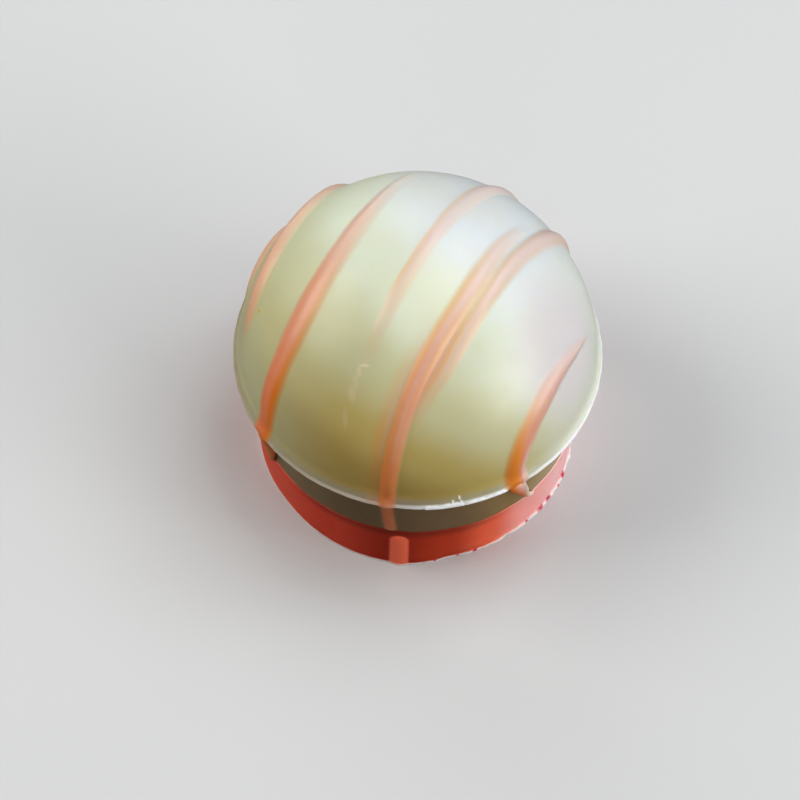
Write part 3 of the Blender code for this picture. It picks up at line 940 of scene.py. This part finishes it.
runGrid = {"rows": 72, "columns": 28, "end": 0.07}   # end: the share of its length over which it rounds off
runs = {
    # its orange right side is partly painted shade under the lip
    "run_second": {
        "warm": (0.0, 1.0), "milk": (0.1, 0.0),
        "path": ((-144.2, 14.66, 12.15), (-144.7, 14.66, 11.75), (-145.6, 14.4, 11.0), (-147.1, 14.15, 9.6),
                 (-148.7, 13.95, 8.0), (-150.2, 13.85, 6.4), (-150.8, 13.82, 5.3), (-150.9, 13.8, 4.8)),
        "width": (1.1, 1.5, 1.7, 1.75, 1.7, 1.5, 1.2, 0.9),
        "depth": (0.5, 0.95, 1.25, 1.2, 1.0, 0.75, 0.55, 0.45),
    },
    # its milky right side is a painted highlight
    "run_right": {
        "warm": (1.4, -0.3), "milk": (-0.3, 1.1),
        "path": ((-59.8, 14.78, 12.15), (-59.3, 14.93, 11.75), (-57.9, 14.84, 10.9), (-55.8, 14.57, 9.7),
                 (-53.3, 14.3, 8.2), (-51.2, 14.1, 6.9), (-49.8, 13.95, 6.0)),
        "width": (1.2, 1.35, 1.3, 1.15, 0.9, 0.6, 0.4),
        "depth": (0.4, 0.5, 0.55, 0.5, 0.45, 0.35, 0.25),
    },
    # painted highlight: the pale edge along the right run's loop
    "run_rightEdge": {
        "warm": (0.0, 0.0), "milk": (0.9, 1.0),
        "path": ((-57.4, 14.75, 12.2), (-57.1, 14.92, 11.75), (-55.6, 14.76, 10.5), (-53.4, 14.44, 8.9),
                 (-51.6, 14.15, 7.3), (-49.6, 14.0, 6.2), (-47.8, 13.92, 5.65), (-46.0, 13.85, 5.5)),
        "width": (0.4, 0.5, 0.5, 0.5, 0.5, 0.5, 0.45, 0.25),
        "depth": (0.3, 0.4, 0.4, 0.4, 0.4, 0.4, 0.35, 0.2),
    },
}


def makeRun(name, run):
    # an ellipse carried along the path: its width lies along the rim and its depth points outwards, and both
    # close to a round point at the ends
    rows = runGrid["rows"]
    path = through([around(*point) for point in run["path"]], rows)
    step = np.gradient(path, axis=0)
    step /= np.linalg.norm(step, axis=-1, keepdims=True)
    outward = path * (1, 1, 0)
    outward /= np.linalg.norm(outward, axis=-1, keepdims=True)
    across = np.cross(step, outward)
    across /= np.linalg.norm(across, axis=-1, keepdims=True)
    outward = np.cross(across, step)
    place = np.linspace(0, 1, rows)
    knots = np.linspace(0, 1, len(run["width"]))
    toEnd = np.clip(1 - np.minimum(place, 1 - place) / runGrid["end"], 0, 1)
    close = np.sqrt(np.clip(1 - toEnd**2, 0, 1))
    width = np.interp(place, knots, run["width"]) / 2 * close
    depth = np.interp(place, knots, run["depth"]) / 2 * close
    turn = np.linspace(0, 2 * math.pi, runGrid["columns"], endpoint=False)
    points = path[:, None] + across[:, None] * (width[:, None] * np.cos(turn))[..., None]
    points = points + outward[:, None] * (depth[:, None] * np.sin(turn))[..., None]
    left = 0.5 + 0.5 * np.cos(turn)
    warm, milk = (
        np.clip(first * left + last * (1 - left), 0, 1) for first, last in (run["warm"], run["milk"])
    )
    makePiece(name, points, "dome", "drizzle", warm=warm, milk=milk)


for name, run in runs.items():
    makeRun(name, run)


# The camera stands where the photograph was taken from, the floor is pale and the light soft

view = {
    "lens": 63.0,
    "sensor": 36.0,
    "place": (-1.3946, -62.8086, 107.3032),
    "turn": (31.0687, -0.2942, 0.4882),
}


def makeCamera():
    data = bpy.data.cameras.new("camera")
    data.lens = view["lens"]
    data.sensor_width = view["sensor"]
    data.clip_start = mm
    camera = bpy.data.objects.new("camera", data)
    camera.location = Vector(view["place"]) * mm
    camera.rotation_euler = Euler([math.radians(angle) for angle in view["turn"]])
    bpy.context.scene.collection.objects.link(camera)
    bpy.context.scene.camera = camera


studio = {
    "floorSize": 4.0,
    "floorColour": (0.60, 0.60, 0.60),
    "floorDeep": (0.57, 0.57, 0.575),
    "floorClouds": 9.0,              # how many of them to the metre
    "floorRoughness": 0.8,
    "sky": (0.134, 0.134, 0.135),
    "contrast": 0.8,
    "backdrop": (0.62, 0.62, 0.63),  # what the camera sees past the floor
    "boxDistance": 0.6,              # metres from the praline to each soft box, and a box's side
    "boxSide": 0.4,
}
# Soft boxes: the bearing and elevation that each shines from, its power in watts and its colour
softBoxes = {
    "window": (35, 62, 1.69, (0.94, 0.97, 1.0)),
    "windowSide": (0, 38, 1.05, (0.93, 0.97, 1.0)),
    "room": (175, 38, 2.43, (1.0, 0.99, 0.96)),
    "lamp": (-30, 12, 2.84, (1.0, 0.98, 0.94)),
    "front": (-100, 10, 0.38, (1.0, 0.98, 0.95)),
    "left": (-165, 12, 0.5, (1.0, 0.99, 0.96)),
    "back": (112, 30, 0.7, (1.0, 1.0, 1.0)),
}


def makeFloor():
    half = studio["floorSize"] / 2
    mesh = bpy.data.meshes.new("floor")
    corners = [(-half, -half, 0), (half, -half, 0), (half, half, 0), (-half, half, 0)]
    mesh.from_pydata(corners, [], [(0, 1, 2, 3)])
    material = bpy.data.materials.new("floor")
    material.use_nodes = True
    tree = material.node_tree
    place = addNode(tree, "TexCoord").outputs["Object"]
    cloud = addNode(tree, "TexNoise", Vector=place, Scale=studio["floorClouds"], Detail=2.0)
    colour = blendColour(tree, cloud.outputs[0], studio["floorColour"], studio["floorDeep"])
    shader = tree.nodes["Principled BSDF"]
    tree.links.new(colour, shader.inputs["Base Color"])
    shader.inputs["Roughness"].default_value = studio["floorRoughness"]
    mesh.materials.append(material)
    floor = bpy.data.objects.new("floor", mesh)
    bpy.context.scene.collection.objects.link(floor)
    floor.visible_diffuse = False
    floor.visible_glossy = False


def makeLights():
    for name, (bearing, elevation, power, colour) in softBoxes.items():
        data = bpy.data.lights.new(name, "AREA")
        data.size = studio["boxSide"]
        data.energy = power
        data.color = colour
        light = bpy.data.objects.new(name, data)
        up = math.radians(elevation)
        light.location = around(bearing, math.cos(up), math.sin(up)) * studio["boxDistance"]
        light.rotation_euler = (-Vector(light.location)).to_track_quat("-Z", "Y").to_euler()
        bpy.context.scene.collection.objects.link(light)


def makeSky():
    world = bpy.data.worlds.new("sky")
    world.use_nodes = True
    tree = world.node_tree
    lit = tree.nodes["Background"]
    lit.inputs["Color"].default_value = (*studio["sky"], 1.0)
    seen = addNode(tree, "Background", Color=studio["backdrop"])
    straight = addNode(tree, "LightPath").outputs["Is Camera Ray"]
    both = addNode(tree, "MixShader", i0=straight, i1=lit.outputs[0], i2=seen.outputs[0])
    tree.links.new(both.outputs[0], tree.nodes["World Output"].inputs["Surface"])
    bpy.context.scene.world = world
    bpy.context.scene.view_settings.view_transform = "Standard"
    bpy.context.scene.view_settings.gamma = studio["contrast"]


makeCamera()
makeFloor()
makeLights()
makeSky()
print("camera, floor and lights ready")
